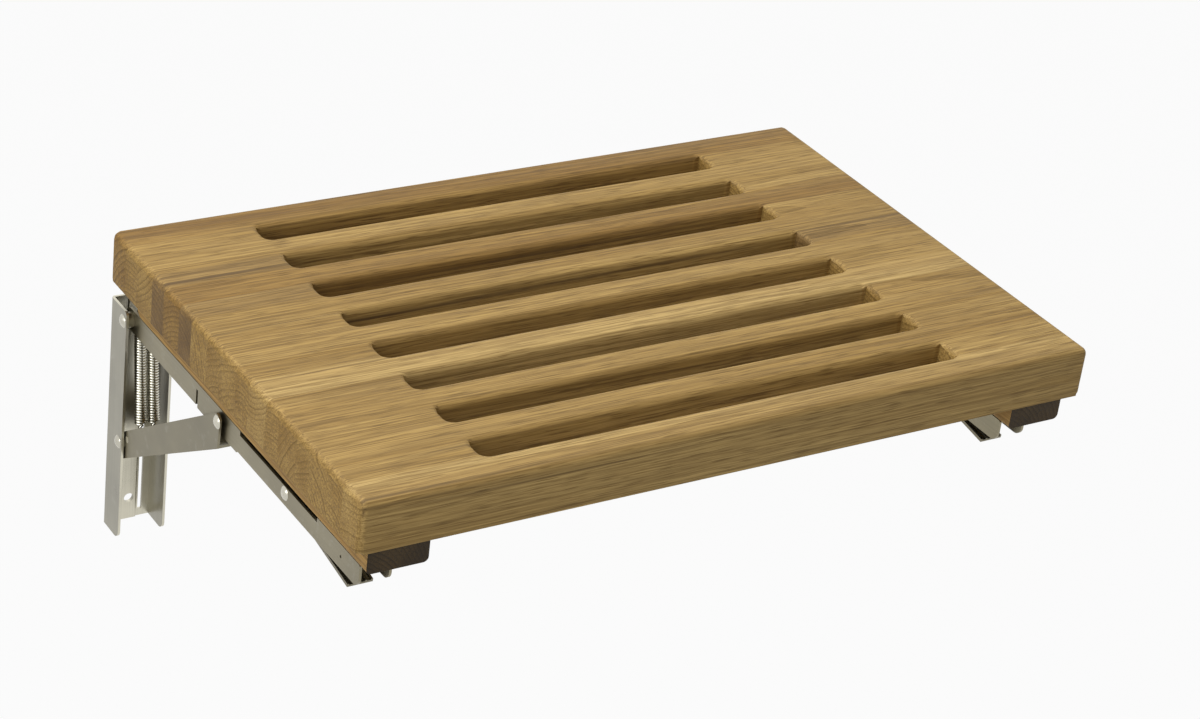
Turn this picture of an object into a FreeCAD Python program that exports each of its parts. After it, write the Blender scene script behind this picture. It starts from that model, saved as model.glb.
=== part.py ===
import FreeCAD, Part
import math
import os
import Sketcher

# Fold down wall seat: a slatted teak seat on two folding steel brackets.
# Frame: the wall is the plane y = 0 and the room is on the -y side, +z is up and
# +x is to the right as one faces the wall. The origin is the centre of the wall screws.

SIZES = [
    # The seat board
    ("seat_width", 457.0, "left end to right end of the seat board"),
    ("seat_thick", 30.0, "thickness of the seat board"),
    ("slat_count", 9, "long slats, front to back"),
    ("slat_width", 20.1, "front to back size of one slat"),
    ("slot_width", 15.5, "open slot between two slats"),
    ("slot_inset", 78.5, "end of the board to the end of a slot"),
    ("wall_gap", 1.5, "rear edge of the board to the wall"),
    ("edge_round", 4.0, "rounding of the upper edges and corners"),
    ("base_round", 2.0, "rounding of the lower edges"),
    ("slot_corner", 4.5, "radius of the cutter's path in a slot's corners"),
    ("rim_round", 4.0, "rounding of the slots' upper rims"),
    ("slot_base_round", 2.0, "rounding of the slots' lower rims"),
    # The two cleats under the board
    ("cleat_width", 35.0, "width of a cleat"),
    ("cleat_thick", 13.0, "thickness of a cleat"),
    ("cleat_inset", 6.0, "left end of the board to the left cleat"),
    ("cleat_front_gap", 1.0, "front edge of the board to the cleats"),
    ("cleat_rear_gap", 22.0, "rear edge of the board to the cleats"),
    ("cleat_round", 3.0, "rounding of the long lower edges"),
    ("cleat_heel", 8.0, "rounding of the lower rear edge"),
    # Where the brackets stand
    ("bracket_spacing", 403.0, "centre line to centre line of the brackets"),
    ("bracket_offset", 10.5, "left side of a cleat to its bracket's centre line"),
    # The wall rail
    ("rail_width", 29.4, "outside width of the channel"),
    ("rail_depth", 21.5, "wall to the front edge of the flanges"),
    ("rail_height", 150.0, "length of the rail"),
    ("rail_wall", 1.5, "sheet thickness"),
    ("rail_bend", 2.0, "outside radius of the bends"),
    ("rail_rise", 1.0, "top of the rail above the cleats' underside"),
    ("rail_toe", 5.0, "rounding of the flanges' lower front corners"),
    ("rail_crown", 2.5, "rounding of the flanges' upper front corners"),
    ("band_width", 10.0, "raised band down the middle of the web"),
    ("band_rise", 1.0, "height of the raised band"),
    ("hole_end", 14.0, "end of the rail to its nearest screw hole"),
    ("hole_bore", 6.0, "diameter of the wall screw holes"),
    ("web_slot_width", 2.5, "narrow slot in the web"),
    ("web_slot_side", 7.4, "centre line to the middle of the narrow slot"),
    ("web_slot_foot", 4.5, "bottom of the rail to the narrow slot"),
    ("web_slot_length", 106.0, "length of the narrow slot"),
    # Pivots
    ("pivot_depth", 16.5, "wall to the two rail pivots"),
    ("pivot_drop", 6.5, "cleats' underside to the upper pivot"),
    ("pivot_gap", 79.0, "upper pivot to lower pivot"),
    ("strut_reach", 120.0, "upper pivot to the strut's front rivet"),
    ("strut_drop", 6.0, "cleats' underside to the strut's front rivet"),
    ("pin_width", 6.0, "diameter of pins and rivets"),
    ("pin_play", 0.05, "radial play of a pin in a moving piece"),
    ("head_width", 8.0, "diameter of the domed heads"),
    ("head_rise", 1.6, "height of the domed heads"),
    ("inner_head_width", 8.0, "diameter of the heads inside the strut"),
    ("inner_head_rise", 1.0, "height of the heads inside the strut"),
    ("spacer_width", 9.5, "outside diameter of the spacers and washers"),
    ("side_play", 0.1, "play at each end of a spacer or washer"),
    # The arm under the cleat
    ("arm_width", 18.6, "outside width of the channel"),
    ("arm_depth", 13.7, "height of the channel"),
    ("arm_wall", 1.5, "sheet thickness"),
    ("arm_reach", 280.0, "upper pivot to the front end"),
    ("arm_heel", 7.0, "upper pivot to the rear end"),
    ("arm_nose", 5.5, "rounding of the lower front corners"),
    ("arm_brow", 1.2, "rounding of the upper front corners"),
    ("arm_back", 6.0, "rounding of the rear corners"),
    ("arm_web_back", 10.0, "upper pivot to the rear end of the web"),
    ("relief_start", 142.0, "upper pivot to the long relief along the flanges' tops"),
    ("relief_end", 233.0, "upper pivot to the end of that relief"),
    ("relief_height", 2.8, "height of the long relief"),
    ("slit_play", 0.3, "clearance of the springs' lower pin in the flanges' slits"),
    ("slit_lead", 0.7, "how far that pin shifts along the arm as it enters the slits"),
    ("lobe_drop", 1.2, "how far the flanges hang lower in front of the slit"),
    ("lobe_front", 140.0, "upper pivot to the front of that lobe"),
    ("lobe_round", 0.8, "rounding of the lobe's corners"),
    ("pip_reach", 260.0, "upper pivot to the pierced pip near the front"),
    ("pip_width", 1.8, "diameter of the pip"),
    # The strut
    ("strut_width", 24.8, "outside width of the channel"),
    ("strut_wall", 1.4, "sheet thickness"),
    ("strut_heel", 7.0, "lower pivot to the rear end"),
    ("strut_web_back", 5.0, "rear end of the flanges to the rear end of the web"),
    ("strut_crown", 5.0, "pivot line to the flanges' free edges"),
    ("strut_keel", 10.2, "lower pivot to the web's outer face"),
    ("strut_keel_front", 14.4, "front rivet to the web's outer face"),
    ("strut_nose", 4.0, "front rivet to the flanges' upper end"),
    ("strut_chin", 7.0, "front rivet back to the flanges' lower end"),
    ("strut_round", 4.0, "rounding of the flanges' corners"),
    # The release lever
    ("lever_reach", 196.0, "upper pivot to the lever's pivot"),
    ("lever_drop", 7.0, "cleats' underside to the lever's pivot"),
    ("lever_width", 14.6, "width of the lever"),
    ("lever_wall", 1.2, "sheet thickness"),
    ("lever_plate_drop", 4.2, "lever's pivot to the plate's underside"),
    ("lever_droop", 9.0, "angle of the finger plate below the arm"),
    ("lever_finger", 71.0, "pivot to the front end"),
    ("lever_tail", 56.0, "pivot to the latch end"),
    ("tail_rise", 2.6, "how far the lever rises from its pivot to the latch end"),
    ("latch_rise", 4.0, "height of the latch nose"),
    ("latch_length", 5.0, "length of the latch nose"),
    ("ear_reach", 6.0, "half length of the lever's ears"),
    ("ear_rise", 4.0, "height of the ears above the pivot"),
    ("lever_pin_width", 5.0, "diameter of the lever's pin"),
    ("rib_count", 5, "ribs on the finger plate"),
    ("rib_width", 1.1, "width of a rib"),
    ("rib_rise", 0.7, "height of a rib"),
    ("rib_start", 14.0, "pivot to the rear end of the ribs"),
    # The assist springs
    ("spring_side", 3.9, "centre line of the bracket to a spring"),
    ("spring_wire", 1.6, "diameter of the wire"),
    ("spring_width", 6.8, "outside diameter of the coils"),
    ("spring_curls", 20, "turns of a spring"),
    ("hook_gap", 0.35, "gap between a hook and its pin"),
    ("hook_neck", 9.7, "straight end between a hook and the coils"),
    ("anchor_reach", 9.5, "lower pivot to the springs' lower pin"),
    ("anchor_width", 4.0, "diameter of the springs' lower pin"),
    ("anchor_blade", 0.8, "thickness of that pin where it is flattened to enter the slits"),
    ("anchor_step", 0.8, "inside of the strut to the flattened length"),
    ("anchor_proud", 0.2, "how far that pin stands out of the strut"),
    # Wood screws
    ("screw_width", 4.0, "diameter of a screw's shank"),
    ("screw_head", 7.6, "diameter of a screw's head"),
    ("screw_head_rise", 1.8, "height of a pan head"),
    ("arm_screw_length", 24.0, "length of an arm screw under its head"),
    ("cleat_screw_length", 32.0, "length of a cleat screw"),
    ("cleat_screw_side", 27.0, "left side of a cleat to its own screws"),
]
ARM_SCREWS = (30.0, 90.0, 180.0, 250.0)
CLEAT_SCREW_SLATS = (2, 5, 8)

doc = FreeCAD.newDocument("wall_seat")
sheet = doc.addObject("Spreadsheet::Sheet", "sizes")
for row, (alias, value, meaning) in enumerate(SIZES, start=1):
    sheet.set("A%d" % row, str(value))
    sheet.setAlias("A%d" % row, alias)
    sheet.set("B%d" % row, meaning)
doc.recompute()

# Places that several pieces share, as expressions on the sheet
S = "sizes."
SEAT_DEPTH = "(sizes.slat_count * sizes.slat_width + (sizes.slat_count - 1) * sizes.slot_width)"
CLEAT_BASE = "(sizes.rail_height / 2 - sizes.rail_rise)"
SEAT_BASE = "(%s + sizes.cleat_thick)" % CLEAT_BASE
SEAT_TOP = "(%s + sizes.seat_thick)" % SEAT_BASE
SEAT_REAR = "(-sizes.wall_gap)"
SEAT_FRONT = "(-sizes.wall_gap - %s)" % SEAT_DEPTH
LEFT_CLEAT = "(-sizes.bracket_spacing / 2 - sizes.bracket_offset)"
RIGHT_CLEAT = "(sizes.bracket_spacing / 2 - sizes.bracket_offset)"
SEAT_LEFT = "(%s - sizes.cleat_inset)" % LEFT_CLEAT
PIVOT_Y = "(-sizes.pivot_depth)"
PIVOT_Z = "(%s - sizes.pivot_drop)" % CLEAT_BASE
LOW_Z = "(%s - sizes.pivot_gap)" % PIVOT_Z
STRUT_RISE = "(sizes.pivot_gap + sizes.pivot_drop - sizes.strut_drop)"
STRUT_LENGTH = "sqrt(sizes.strut_reach ^ 2 + %s ^ 2)" % STRUT_RISE
STRUT_TILT = "-atan(%s / sizes.strut_reach)" % STRUT_RISE
LEVER_Y = "(%s - sizes.lever_reach)" % PIVOT_Y
LEVER_Z = "(%s - sizes.lever_drop)" % CLEAT_BASE
ARM_BASE = "(%s - sizes.arm_depth)" % CLEAT_BASE
FOLDED_PIN = "(%s - sizes.pivot_gap - sizes.anchor_reach)" % PIVOT_Y
SLIT_FRONT = "(%s - sizes.anchor_blade / 2 - sizes.slit_play)" % FOLDED_PIN
SLIT_REAR = "(%s + sizes.anchor_blade / 2 + sizes.slit_play + sizes.slit_lead)" % FOLDED_PIN
PIN_R = "(sizes.pin_width / 2)"
RUN_R = "(sizes.pin_width / 2 + sizes.pin_play)"
SIDES = {"left": "(-sizes.bracket_spacing / 2)", "right": "(sizes.bracket_spacing / 2)"}


def number(expression):
    value = sheet.evalExpression(str(expression))
    return float(getattr(value, "Value", value))


# Sketches whose every corner is held by two expressions
def sketch(body, name, role, lift=None):
    plane = [f for f in body.Origin.OriginFeatures if f.Role == role][0]
    made = body.newObject("Sketcher::SketchObject", name)
    made.AttachmentSupport = [(plane, "")]
    made.MapMode = "FlatFace"
    if lift is not None:
        made.setExpression("AttachmentOffset.Base.z", lift)
    return made


def hold(made, geometry, end, place):
    for kind, expression in zip(("DistanceX", "DistanceY"), place):
        constraint = Sketcher.Constraint(kind, -1, 1, geometry, end, number(expression))
        index = made.addConstraint(constraint)
        made.setExpression("Constraints[%d]" % index, str(expression))


def addOutline(made, corners):
    first = made.GeometryCount
    spots = [FreeCAD.Vector(number(a), number(b), 0) for a, b in corners]
    count = len(corners)
    for i in range(count):
        made.addGeometry(Part.LineSegment(spots[i], spots[(i + 1) % count]), False)
    for i in range(count):
        following = first + (i + 1) % count
        made.addConstraint(Sketcher.Constraint("Coincident", first + i, 2, following, 1))
    for i, corner in enumerate(corners):
        hold(made, first + i, 1, corner)


def addCircle(made, centre, radius):
    middle = FreeCAD.Vector(number(centre[0]), number(centre[1]), 0)
    circle = Part.Circle(middle, FreeCAD.Vector(0, 0, 1), number(radius))
    index = made.addGeometry(circle, False)
    hold(made, index, 3, centre)
    held = made.addConstraint(Sketcher.Constraint("Radius", index, number(radius)))
    made.setExpression("Constraints[%d]" % held, radius)


def box(y0, z0, y1, z1):
    return [(y0, z0), (y1, z0), (y1, z1), (y0, z1)]


# Pads and pockets, symmetric about their plane unless told otherwise
def shapeBy(kind, body, made, length, side="Symmetric"):
    feature = body.newObject(kind, made.Name + "_cut" if "Pocket" in kind else made.Name + "_pad")
    feature.Profile = made
    feature.SideType = side
    feature.setExpression("Length", str(length))
    made.Visibility = False
    doc.recompute()
    return feature


def pad(body, made, length, side="Symmetric"):
    return shapeBy("PartDesign::Pad", body, made, length, side)


def pocket(body, made, length, side="Symmetric"):
    before = body.Shape.Volume
    feature = shapeBy("PartDesign::Pocket", body, made, length, side)
    if body.Shape.Volume > before - 0.01:
        raise RuntimeError("%s cuts nothing" % feature.Name)
    return feature


def roundOff(body, radius, chosen):
    base = body.Tip
    names = ["Edge%d" % (i + 1) for i, edge in enumerate(base.Shape.Edges) if chosen(edge)]
    if not names:
        raise RuntimeError("no edge to round on %s" % body.Label)
    feature = body.newObject("PartDesign::Fillet", base.Name + "_round")
    feature.Base = (base, names)
    feature.setExpression("Radius", str(radius))
    doc.recompute()
    if not body.Shape.Solids:
        raise RuntimeError("%s can't be rounded" % body.Label)
    return feature


def near(a, b):
    return abs(a - b) < 0.01


def crossEdge(y, z):
    # Edges that run along x through the given y and z
    places = (number(y), number(z))

    def chosen(edge):
        return all(near(v.Y, places[0]) and near(v.Z, places[1]) for v in edge.Vertexes)
    return chosen


def anyOf(*choices):
    return lambda edge: any(choice(edge) for choice in choices)


def newBody(label, x="0", y="0", z="0", tilt=None):
    body = doc.addObject("PartDesign::Body", label)
    body.Label = label
    if tilt is not None:
        body.Placement = FreeCAD.Placement(FreeCAD.Vector(), FreeCAD.Rotation(FreeCAD.Vector(1, 0, 0), 1))
        body.setExpression("Placement.Rotation.Angle", tilt)
    for axis, value in zip("xyz", (x, y, z)):
        body.setExpression("Placement.Base." + axis, value)
    doc.recompute()
    return body


# The seat board is shaped whole and then divided into its staves
def seatBoard():
    body = newBody("seat_board", x=SEAT_LEFT, y=SEAT_FRONT, z=SEAT_BASE)
    plan = sketch(body, "board_plan", "XY_Plane")
    addOutline(plan, box("0", "0", "sizes.seat_width", SEAT_DEPTH))
    pad(body, plan, "sizes.seat_thick", "One side")
    cutSlots(body, "routed_slots", "sizes.slot_corner")
    wide, deep, thick = number("sizes.seat_width"), number(SEAT_DEPTH), number("sizes.seat_thick")

    def outside(edge):
        middle = edge.CenterOfMass
        return near(middle.x % wide, 0) or near(middle.y % deep, 0)

    def upright(edge):
        return len(edge.Vertexes) == 2 and abs(edge.Vertexes[0].Z - edge.Vertexes[1].Z) > thick / 2

    def level(height):
        return lambda edge: all(near(v.Z, height) for v in edge.Vertexes)
    roundOff(body, "sizes.edge_round", lambda e: outside(e) and (upright(e) or level(thick)(e)))
    roundOff(body, "sizes.rim_round", lambda e: level(thick)(e) and inSlots(e))
    roundOff(body, "sizes.base_round", lambda e: level(0)(e) and not inSlots(e))
    roundOff(body, "sizes.slot_base_round", lambda e: level(0)(e) and inSlots(e))
    cutSlots(body, "square_slots")
    return body


def cutSlots(body, name, corner=None):
    slots = sketch(body, name, "XY_Plane")
    addOutline(slots, box("sizes.slot_inset", "sizes.slat_width", "sizes.seat_width - sizes.slot_inset",
                          "sizes.slat_width + sizes.slot_width"))
    cut = pocket(body, slots, "2 * sizes.seat_thick")
    if corner:
        cut = roundOff(body, corner, lambda e: inSlots(e) and abs(e.Vertexes[0].Z - e.Vertexes[-1].Z) > 1)
    pattern = body.newObject("PartDesign::LinearPattern", name + "_row")
    pattern.Originals = [cut]
    pattern.Direction = (slots, ["V_Axis"])
    pattern.setExpression("Length", "(sizes.slat_width + sizes.slot_width) * (sizes.slat_count - 2)")
    pattern.setExpression("Occurrences", "sizes.slat_count - 1")
    body.Tip = pattern
    doc.recompute()


def inSlots(edge):
    # The slots' own rims, which lie well inside the board's outline
    inset = number("sizes.slot_inset") - 0.01
    slat = number("sizes.slat_width") - 0.01
    wide, deep = number("sizes.seat_width"), number(SEAT_DEPTH)
    return all(inset < v.X < wide - inset and slat < v.Y < deep - slat for v in edge.Vertexes)


def block(name, x, y, z, length, width, height):
    made = doc.addObject("Part::Box", name)
    for prop, value in zip(("Length", "Width", "Height"), (length, width, height)):
        made.setExpression(prop, str(value))
    for axis, value in zip("xyz", (x, y, z)):
        made.setExpression("Placement.Base." + axis, str(value))
    return made


def combine(kind, label, pieces):
    made = doc.addObject(kind, label)
    made.Label = label
    if kind in ("Part::Cut", "Part::Common"):
        made.Base, made.Tool = pieces
    elif kind == "Part::Compound":
        made.Links = pieces
    else:
        made.Shapes = pieces
    return made


def staveBox(name, index, x, length):
    y = "%s + %s * (sizes.slat_width + sizes.slot_width)" % (SEAT_FRONT, index)
    return block(name, x, y, SEAT_BASE, length, "sizes.slat_width", "sizes.seat_thick")


def fillerBox(name, index, x):
    y = "%s + sizes.slat_width + %s * (sizes.slat_width + sizes.slot_width)" % (SEAT_FRONT, index)
    return block(name, x, y, SEAT_BASE, "sizes.slot_inset", "sizes.slot_width", "sizes.seat_thick")


# Round pieces along x
def rod(name, x, y, z, radius, length):
    made = doc.addObject("Part::Cylinder", name)
    made.Placement = FreeCAD.Placement(FreeCAD.Vector(), FreeCAD.Rotation(FreeCAD.Vector(0, 1, 0), 90))
    made.setExpression("Radius", str(radius))
    made.setExpression("Height", str(length))
    for axis, value in zip("xyz", (x, y, z)):
        made.setExpression("Placement.Base." + axis, str(value))
    return made


def dome(name, x, y, z, facing, width="sizes.head_width", rise="sizes.head_rise"):
    # A cap of a sphere that sits flat on the plane at x and bulges along facing
    ball = "((%s ^ 2 / 4 + %s ^ 2) / (2 * %s))" % (width, rise, rise)
    made = doc.addObject("Part::Sphere", name)
    made.Placement = FreeCAD.Placement(FreeCAD.Vector(), FreeCAD.Rotation(FreeCAD.Vector(0, 1, 0), 90 * facing))
    made.setExpression("Radius", ball)
    made.setExpression("Angle1", "asin((%s - %s) / %s)" % (ball, rise, ball))
    made.Angle2 = 90
    made.setExpression("Placement.Base.x", "%s - %d * (%s - %s)" % (x, facing, ball, rise))
    made.setExpression("Placement.Base.y", str(y))
    made.setExpression("Placement.Base.z", str(z))
    return made


def ring(name, x, y, z, outer, inner, length):
    return combine("Part::Cut", name, [rod(name + "_body", x, y, z, outer, length),
                                       rod(name + "_hole", x, y, z, inner, length)])


def upright(name, x, y, z, radius, length):
    made = doc.addObject("Part::Cylinder", name)
    made.setExpression("Radius", str(radius))
    made.setExpression("Height", str(length))
    for axis, value in zip("xyz", (x, y, z)):
        made.setExpression("Placement.Base." + axis, str(value))
    return made


def screw(name, x, y, head_z, length, pan):
    # A wood screw that points up: a pan head hangs below head_z, a flat head is sunk above it
    shank = upright(name + "_shank", x, y, head_z, "sizes.screw_width / 2", length)
    if pan:
        head = upright(name + "_head", x, y, "%s - sizes.screw_head_rise" % head_z,
                       "sizes.screw_head / 2", "sizes.screw_head_rise")
    else:
        head = sunkHead(name + "_head", x, y, head_z)
    return combine("Part::MultiFuse", name, [shank, head])


def sunkHead(name, x, y, z):
    made = doc.addObject("Part::Cone", name)
    made.setExpression("Radius1", "sizes.screw_head / 2")
    made.setExpression("Radius2", "sizes.screw_width / 2")
    made.setExpression("Height", "(sizes.screw_head - sizes.screw_width) / 2")
    for axis, value in zip("xyz", (x, y, z)):
        made.setExpression("Placement.Base." + axis, str(value))
    return made


def armScrewPlaces():
    places = []
    for side, x in SIDES.items():
        for number_, reach in enumerate(ARM_SCREWS, start=1):
            places.append((side, "%s_%d" % (side, number_), x, "%s - %s" % (PIVOT_Y, reach)))
    return places


def cleatScrewPlaces():
    places = []
    for side, x in (("left", LEFT_CLEAT), ("right", RIGHT_CLEAT)):
        for slat in CLEAT_SCREW_SLATS:
            y = "%s + %s * (sizes.slat_width + sizes.slot_width) - sizes.slot_width - sizes.slat_width / 2"
            places.append((side, "%s_%d" % (side, slat), "%s + sizes.cleat_screw_side" % x,
                           y % (SEAT_FRONT, slat)))
    return places


ARM_SCREW_Z = "(%s - sizes.arm_wall)" % CLEAT_BASE


def screwHoles():
    # The holes that the screws fill in the cleats and the board
    holes = []
    for _, name, x, y in armScrewPlaces():
        holes.append(upright("arm_hole_" + name, x, y, ARM_SCREW_Z, "sizes.screw_width / 2",
                             "sizes.arm_screw_length"))
    for _, name, x, y in cleatScrewPlaces():
        shank = upright("cleat_hole_" + name, x, y, CLEAT_BASE, "sizes.screw_width / 2",
                        "sizes.cleat_screw_length")
        holes.append(combine("Part::MultiFuse", "cleat_sink_" + name,
                             [shank, sunkHead("cleat_cone_" + name, x, y, CLEAT_BASE)]))
    return combine("Part::Compound", "screw_holes", holes)


def cleat(side, x, holes):
    body = newBody(side + "_cleat_blank", x=x)
    end = sketch(body, side + "_cleat_side", "YZ_Plane")
    addOutline(end, box("%s + sizes.cleat_front_gap" % SEAT_FRONT, CLEAT_BASE,
                        "%s - sizes.cleat_rear_gap" % SEAT_REAR, SEAT_BASE))
    pad(body, end, "sizes.cleat_width", "One side")
    roundOff(body, "sizes.cleat_heel", crossEdge("%s - sizes.cleat_rear_gap" % SEAT_REAR, CLEAT_BASE))
    base = number(CLEAT_BASE)

    def longLower(edge):
        ends = edge.Vertexes
        flat = all(near(v.Z, base) for v in ends)
        return flat and len(ends) == 2 and abs(ends[0].Y - ends[1].Y) > 50
    roundOff(body, "sizes.cleat_round", longLower)
    return combine("Part::Cut", side + "_cleat", [body, holes])


# The bracket's channels: an outer outline, less the hollow between the flanges
def channel(label, outer, hollow, width, wall, **place):
    body = newBody(label, **place)
    side = sketch(body, label + "_side", "YZ_Plane")
    addOutline(side, outer)
    pad(body, side, width)
    inside = sketch(body, label + "_hollow", "YZ_Plane")
    addOutline(inside, hollow)
    pocket(body, inside, "%s - 2 * %s" % (width, wall))
    return body


def pierce(body, name, spots, width):
    made = sketch(body, name, "YZ_Plane")
    for y, z, radius in spots:
        addCircle(made, (y, z), radius)
    return pocket(body, made, "2 * %s" % width)


def wallRail(side):
    top, foot = "sizes.rail_height / 2", "-sizes.rail_height / 2"
    front, web = "-sizes.rail_depth", "-sizes.rail_wall"
    body = channel(side + "_wall_rail", box(front, foot, "0", top),
                   box("2 * %s" % front, "2 * (%s)" % foot, web, "2 * (%s)" % top),
                   "sizes.rail_width", "sizes.rail_wall", x=SIDES[side])
    band = sketch(body, side + "_band", "YZ_Plane")
    addOutline(band, box("-sizes.rail_wall - sizes.band_rise", foot, "-sizes.rail_wall / 2", top))
    pad(body, band, "sizes.band_width")
    roundOff(body, "sizes.rail_toe", crossEdge(front, foot))
    roundOff(body, "sizes.rail_crown", crossEdge(front, top))
    half, rise = number("sizes.rail_width / 2"), number("sizes.rail_wall + sizes.band_rise")

    def bend(edge):
        middle = edge.CenterOfMass
        return near(abs(middle.x), half) and near(middle.y, 0) and len(edge.Vertexes) == 2

    def bandEdge(edge):
        middle = edge.CenterOfMass
        return near(middle.y, -rise) and near(middle.z, 0)
    roundOff(body, "sizes.rail_bend", bend)
    roundOff(body, "sizes.band_rise * 0.9", bandEdge)
    pierce(body, side + "_rail_pivots", [(PIVOT_Y, PIVOT_Z, PIN_R), (PIVOT_Y, LOW_Z, PIN_R)],
           "sizes.rail_width")
    web = sketch(body, side + "_web_holes", "XZ_Plane")
    for sign in ("", "-"):
        addCircle(web, ("0", "%s(sizes.rail_height / 2 - sizes.hole_end)" % sign), "sizes.hole_bore / 2")
    slot_foot = "%s + sizes.web_slot_foot" % foot
    addOutline(web, box("sizes.web_slot_side - sizes.web_slot_width / 2", slot_foot,
                        "sizes.web_slot_side + sizes.web_slot_width / 2",
                        "%s + sizes.web_slot_length" % slot_foot))
    pocket(body, web, "3 * (sizes.rail_wall + sizes.band_rise)")
    return body


def arm(side):
    rear, tip = "%s + sizes.arm_heel" % PIVOT_Y, "%s - sizes.arm_reach" % PIVOT_Y
    web, beyond = "%s - sizes.arm_wall" % CLEAT_BASE, "%s + sizes.arm_depth" % rear
    low, high, web_end = "0", "2 * " + CLEAT_BASE, "%s - sizes.arm_web_back" % PIVOT_Y
    before = "%s - sizes.arm_depth" % tip
    hollow = [(before, low), (beyond, low), (beyond, high), (web_end, high), (web_end, web), (before, web)]
    lobe_rear = SLIT_FRONT
    lobe_front, lobe_base = "%s - sizes.lobe_front" % PIVOT_Y, "%s - sizes.lobe_drop" % ARM_BASE
    outer = [(tip, ARM_BASE), (lobe_front, ARM_BASE), ("%s + sizes.lobe_drop" % lobe_front, lobe_base),
             (lobe_rear, lobe_base), (lobe_rear, ARM_BASE), (rear, ARM_BASE), (rear, CLEAT_BASE),
             (tip, CLEAT_BASE)]
    body = channel(side + "_arm_channel", outer, hollow, "sizes.arm_width", "sizes.arm_wall",
                   x=SIDES[side])
    roundOff(body, "sizes.arm_nose", crossEdge(tip, ARM_BASE))
    roundOff(body, "sizes.arm_brow", crossEdge(tip, CLEAT_BASE))
    roundOff(body, "sizes.arm_back", anyOf(crossEdge(rear, ARM_BASE), crossEdge(rear, CLEAT_BASE)))
    roundOff(body, "sizes.lobe_round", crossEdge(lobe_rear, lobe_base))
    pierce(body, side + "_arm_pivots",
           [(PIVOT_Y, PIVOT_Z, RUN_R), (LEVER_Y, LEVER_Z, "sizes.lever_pin_width / 2"),
            ("%s - sizes.pip_reach" % PIVOT_Y, "(%s + %s) / 2" % (ARM_BASE, CLEAT_BASE),
             "sizes.pip_width / 2")], "sizes.arm_width")
    slit = sketch(body, side + "_arm_slit", "YZ_Plane")
    addOutline(slit, box(SLIT_FRONT, "%s - sizes.arm_depth" % ARM_BASE, SLIT_REAR,
                         "%s + sizes.anchor_width / 2 + sizes.slit_play" % PIVOT_Z))
    pocket(body, slit, "2 * sizes.arm_width")
    relief = sketch(body, side + "_arm_relief", "XY_Plane", lift=CLEAT_BASE)
    for sign in ("", "-"):
        addOutline(relief, box("%s(sizes.arm_width / 2 - sizes.arm_wall)" % sign,
                               "%s - sizes.relief_end" % PIVOT_Y, "%ssizes.arm_width" % sign,
                               "%s - sizes.relief_start" % PIVOT_Y))
    pocket(body, relief, "2 * sizes.relief_height")
    holes = sketch(body, side + "_arm_holes", "XY_Plane", lift=CLEAT_BASE)
    for reach in ARM_SCREWS:
        addCircle(holes, ("0", "%s - %s" % (PIVOT_Y, reach)), "sizes.screw_width / 2")
    pocket(body, holes, "3 * sizes.arm_wall")
    return body


def keel(y, lift="0"):
    # The web's outer face, which falls away from the pivot line towards the front
    fall = "(sizes.strut_keel_front - sizes.strut_keel) * (-(%s)) / %s" % (y, STRUT_LENGTH)
    return "-(sizes.strut_keel + %s) + %s" % (fall, lift)


def strut(side):
    rear, front = "sizes.strut_heel", "-%s - sizes.strut_nose" % STRUT_LENGTH
    chin = "-%s + sizes.strut_chin" % STRUT_LENGTH
    low, high = "-2 * %s" % STRUT_LENGTH, "2 * sizes.strut_keel"
    web_end = "sizes.strut_heel - sizes.strut_web_back"
    outer = [(chin, keel(chin)), (rear, keel(rear)), (rear, "sizes.strut_crown"), (front, "sizes.strut_crown"),
             (front, "0")]
    hollow = [(low, keel(low, "sizes.strut_wall")), (web_end, keel(web_end, "sizes.strut_wall")),
              (web_end, "-" + high), (high, "-" + high), (high, high), (low, high)]
    body = channel(side + "_strut", outer, hollow, "sizes.strut_width", "sizes.strut_wall",
                   x=SIDES[side], y=PIVOT_Y, z=LOW_Z,
                   tilt=STRUT_TILT)
    roundOff(body, "sizes.strut_round",
             anyOf(crossEdge(rear, "sizes.strut_crown"), crossEdge(front, "sizes.strut_crown"),
                   crossEdge(rear, keel(rear))))
    pierce(body, side + "_strut_pivots",
           [("0", "0", RUN_R), ("-%s" % STRUT_LENGTH, "0", PIN_R),
            ("-sizes.anchor_reach", "0", "sizes.anchor_width / 2")], "sizes.strut_width")
    return body


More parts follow.
